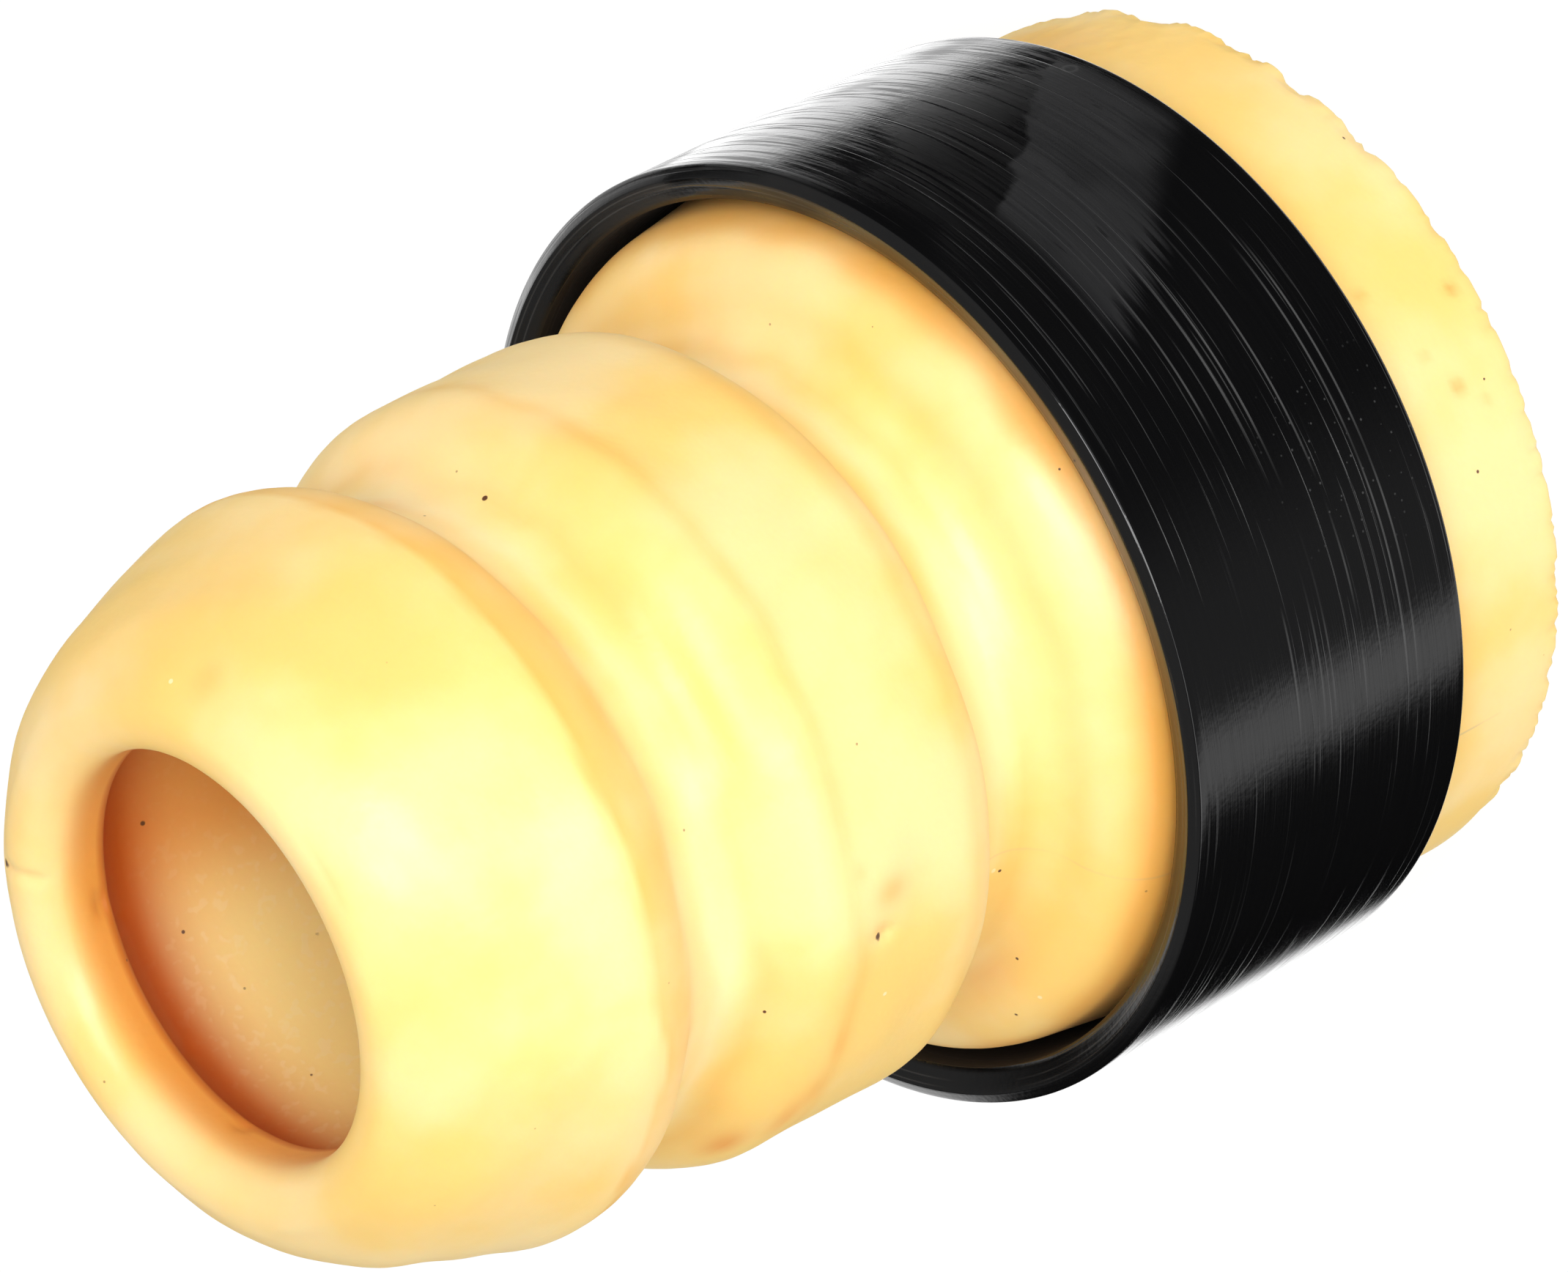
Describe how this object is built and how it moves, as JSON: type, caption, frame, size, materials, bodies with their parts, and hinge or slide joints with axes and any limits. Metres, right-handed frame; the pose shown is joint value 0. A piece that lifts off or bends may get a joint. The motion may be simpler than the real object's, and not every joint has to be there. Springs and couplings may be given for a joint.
{
  "type": "suspension bump stop",
  "caption": "Moulded foam bump stop with stepped rounded lobes, a cone nose with a rolled lip and a through bore, its rear part held in a black plastic sleeve.",
  "frame": {"origin": "centre of the flat rear end, on the axis", "axes": "+Z along the axis, from the rear end to the nose that meets the damper"},
  "size_m": [0.06, 0.06, 0.0843],
  "materials": {
    "buffer_foam": "moulded, glossy skin on pale yellow cellular polyurethane",
    "ring_plastic": "glossy black moulded plastic"
  },
  "bodies": {
    "root": {"buffer": "buffer_foam", "support_ring": "ring_plastic"}
  },
  "joints": []
}
